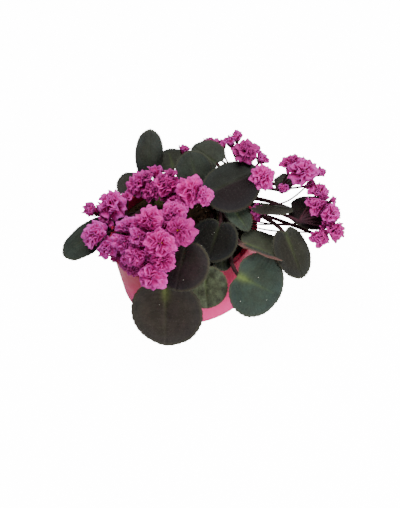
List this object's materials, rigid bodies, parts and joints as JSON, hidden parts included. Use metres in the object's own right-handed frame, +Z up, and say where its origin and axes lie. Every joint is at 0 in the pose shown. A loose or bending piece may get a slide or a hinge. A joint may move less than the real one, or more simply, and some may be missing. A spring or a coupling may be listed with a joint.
{
  "type": "potted african violet",
  "caption": "African violet with scalloped oval leaves and a dense head of double pink blooms, growing in soil in a plain round plastic pot.",
  "frame": {"origin": "centre of the flat underside of the pot", "axes": "+Z up along the pot, -Y to the front, over which the largest leaf hangs, +X to the right seen from the front"},
  "size_m": [0.208, 0.1581, 0.118],
  "materials": {
    "pot": "thin moulded pink plastic with a soft gloss",
    "soil": "matt dark peat potting soil",
    "crown": "matt scarred brown neck of the plant",
    "leaf": "quilted, softly hairy dark olive to maroon leaf",
    "flower_stalk": "thin dark purple-brown hairy stalks",
    "petal": "soft ruffled magenta-pink petals with paler edges"
  },
  "bodies": {
    "root": {"pot": "pot", "soil": "soil", "crown": "crown", "spray_front": "flower_stalk", "spray_left": "flower_stalk", "spray_middle": "flower_stalk", "spray_upper": "flower_stalk", "spray_back": "flower_stalk", "spray_back_right": "flower_stalk", "spray_right": "flower_stalk", "spray_far_right": "flower_stalk", "spray_low_right": "flower_stalk", "leaf_front_big": "leaf", "leaf_front_mid": "leaf", "leaf_front_small": "leaf", "leaf_front_round": "leaf", "leaf_centre": "leaf", "leaf_crest": "leaf", "leaf_back_mid": "leaf", "leaf_back_arch": "leaf", "leaf_back_low": "leaf", "leaf_back_tall": "leaf", "leaf_left_back": "leaf", "leaf_left_low": "leaf", "leaf_right_oval": "leaf", "leaf_right_long": "leaf", "leaf_right_dark": "leaf", "leaf_right_back": "leaf", "leaf_right_cup": "leaf", "leaf_inner": "leaf", "leaf_front_low": "leaf", "bloom_front_1": "petal", "bloom_front_2": "petal", "bloom_front_3": "petal", "bloom_front_4": "petal", "bloom_front_5": "petal", "bloom_left_1": "petal", "bloom_left_2": "petal", "bloom_left_3": "petal", "bloom_left_4": "petal", "bloom_left_5": "petal", "bloom_middle_1": "petal", "bloom_middle_2": "petal", "bloom_middle_3": "petal", "bloom_upper_1": "petal", "bloom_upper_2": "petal", "bloom_upper_3": "petal", "bloom_upper_4": "petal", "bloom_upper_5": "petal", "bloom_upper_6": "petal", "bloom_back_1": "petal", "bloom_back_right_1": "petal", "bloom_back_right_2": "petal", "bloom_right_1": "petal", "bloom_right_2": "petal", "bloom_far_right_1": "petal", "bloom_far_right_2": "petal", "bloom_far_right_3": "petal", "bloom_low_right_1": "petal", "bloom_low_right_2": "petal"}
  },
  "joints": []
}
